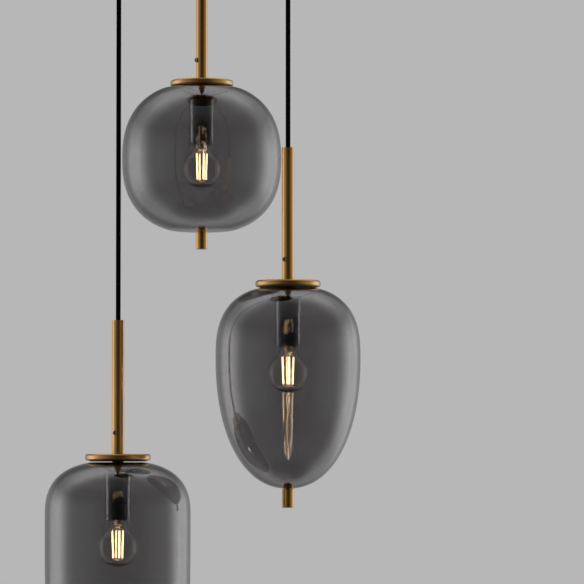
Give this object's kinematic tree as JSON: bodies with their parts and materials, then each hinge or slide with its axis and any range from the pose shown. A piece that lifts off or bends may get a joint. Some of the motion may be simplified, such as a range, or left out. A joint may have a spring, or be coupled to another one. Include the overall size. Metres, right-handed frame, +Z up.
{
  "type": "cluster pendant light",
  "caption": "Round ceiling canopy with smoked glass shades hung at different heights on cables, each with a brass stem, cap and pin round a small lamp.",
  "frame": {"origin": "middle of the canopy's seat on the ceiling, on the top face of the bracket", "axes": "+Z up towards the ceiling, +X along the ceiling bracket, +Y towards the back of the cluster, away from the picture's camera"},
  "size_m": [0.3533, 0.3528, 1.1702],
  "materials": {
    "brass": "satin brushed brass",
    "smoked_glass": "clear smoked grey glass",
    "lamp_glass": "clear glass",
    "filament": "phosphor coated LED sticks",
    "nickel": "nickel plated",
    "steel": "zinc plated",
    "black_metal": "satin black",
    "black_plastic": "black moulded",
    "white_plastic": "moulded",
    "cable": "black textile braid",
    "lead": "insulated inner leads"
  },
  "bodies": {
    "root": {"ceiling_bracket": "steel", "canopy_pan": "brass", "canopy_screws": "brass", "terminal_block": "white_plastic", "canopy_leads": "lead", "cord_grips": "black_plastic", "cord_grip_nuts": "steel", "cord_grip_screws": "steel"},
    "apple_hanger": {"apple_cable": "cable"},
    "apple_head": {"apple_neck": "black_metal", "apple_shade_carrier": "black_metal", "apple_lampholder_cap": "black_plastic", "apple_lampholder_sleeve": "black_plastic", "apple_lampholder_insert": "black_plastic", "apple_glass": "smoked_glass", "apple_pin": "brass", "apple_pin_nut": "black_metal"},
    "apple_cover": {"apple_stem": "brass", "apple_stem_bush": "black_plastic", "apple_cap": "brass", "apple_cap_washer": "black_metal", "apple_lock_screw": "nickel"},
    "apple_lamp_screw": {"apple_lamp_base": "nickel"},
    "apple_lamp": {"apple_lamp_bulb": "lamp_glass", "apple_lamp_filaments": "filament"},
    "egg_hanger": {"egg_cable": "cable"},
    "egg_head": {"egg_neck": "black_metal", "egg_shade_carrier": "black_metal", "egg_lampholder_cap": "black_plastic", "egg_lampholder_sleeve": "black_plastic", "egg_lampholder_insert": "black_plastic", "egg_glass": "smoked_glass", "egg_pin": "brass", "egg_pin_nut": "black_metal"},
    "egg_cover": {"egg_stem": "brass", "egg_stem_bush": "black_plastic", "egg_cap": "brass", "egg_cap_washer": "black_metal", "egg_lock_screw": "nickel"},
    "egg_lamp_screw": {"egg_lamp_base": "nickel"},
    "egg_lamp": {"egg_lamp_bulb": "lamp_glass", "egg_lamp_filaments": "filament"},
    "jar_hanger": {"jar_cable": "cable"},
    "jar_head": {"jar_neck": "black_metal", "jar_shade_carrier": "black_metal", "jar_lampholder_cap": "black_plastic", "jar_lampholder_sleeve": "black_plastic", "jar_lampholder_insert": "black_plastic", "jar_glass": "smoked_glass", "jar_pin": "brass", "jar_pin_nut": "black_metal"},
    "jar_cover": {"jar_stem": "brass", "jar_stem_bush": "black_plastic", "jar_cap": "brass", "jar_cap_washer": "black_metal", "jar_lock_screw": "nickel"},
    "jar_lamp_screw": {"jar_lamp_base": "nickel"},
    "jar_lamp": {"jar_lamp_bulb": "lamp_glass", "jar_lamp_filaments": "filament"}
  },
  "joints": [
    {"name": "apple_swing", "type": "hinge", "parent": "root", "child": "apple_hanger", "pos_m": [-0.00384, 0.10993, -0.039], "axis": [0.9994, 0.0349, 0], "range_deg": [-2.5, 15]},
    {"name": "apple_height", "type": "slide", "parent": "apple_hanger", "child": "apple_head", "axis": [0, 0, 1], "range_m": [0, 0.1], "deforming": ["apple_cable"]},
    {"name": "apple_cover_lift", "type": "slide", "parent": "apple_head", "child": "apple_cover", "axis": [0, 0, 1], "range_m": [0, 0.06]},
    {"name": "apple_lamp_drop", "type": "slide", "parent": "apple_head", "child": "apple_lamp_screw", "axis": [0, 0, -1], "range_m": [0, 0.00846]},
    {"name": "apple_lamp_turn", "type": "hinge", "parent": "apple_lamp_screw", "child": "apple_lamp", "pos_m": [-0.00384, 0.10993, -0.5782], "axis": [0, 0, -1], "range_deg": [0, 1081]},
    {"name": "egg_swing", "type": "hinge", "parent": "root", "child": "egg_hanger", "pos_m": [0.09712, -0.05164, -0.039], "axis": [-0.4695, -0.8829, 0], "range_deg": [-2.5, 15]},
    {"name": "egg_height", "type": "slide", "parent": "egg_hanger", "child": "egg_head", "axis": [0, 0, 1], "range_m": [0, 0.1], "deforming": ["egg_cable"]},
    {"name": "egg_cover_lift", "type": "slide", "parent": "egg_head", "child": "egg_cover", "axis": [0, 0, 1], "range_m": [0, 0.06]},
    {"name": "egg_lamp_drop", "type": "slide", "parent": "egg_head", "child": "egg_lamp_screw", "axis": [0, 0, -1], "range_m": [0, 0.00846]},
    {"name": "egg_lamp_turn", "type": "hinge", "parent": "egg_lamp_screw", "child": "egg_lamp", "pos_m": [0.09712, -0.05164, -0.8208], "axis": [0, 0, -1], "range_deg": [0, 1081]},
    {"name": "jar_swing", "type": "hinge", "parent": "root", "child": "jar_hanger", "pos_m": [-0.09329, -0.05829, -0.039], "axis": [-0.5299, 0.848, 0], "range_deg": [-2.5, 15]},
    {"name": "jar_height", "type": "slide", "parent": "jar_hanger", "child": "jar_head", "axis": [0, 0, 1], "range_m": [0, 0.1], "deforming": ["jar_cable"]},
    {"name": "jar_cover_lift", "type": "slide", "parent": "jar_head", "child": "jar_cover", "axis": [0, 0, 1], "range_m": [0, 0.06]},
    {"name": "jar_lamp_drop", "type": "slide", "parent": "jar_head", "child": "jar_lamp_screw", "axis": [0, 0, -1], "range_m": [0, 0.00846]},
    {"name": "jar_lamp_turn", "type": "hinge", "parent": "jar_lamp_screw", "child": "jar_lamp", "pos_m": [-0.09329, -0.05829, -1.0155], "axis": [0, 0, -1], "range_deg": [0, 1081]}
  ],
  "couplings": [
    {"joint": "apple_lamp_turn", "follows": "apple_lamp_drop", "rad_per_m": 2228.1},
    {"joint": "egg_lamp_turn", "follows": "egg_lamp_drop", "rad_per_m": 2228.1},
    {"joint": "jar_lamp_turn", "follows": "jar_lamp_drop", "rad_per_m": 2228.1}
  ]
}
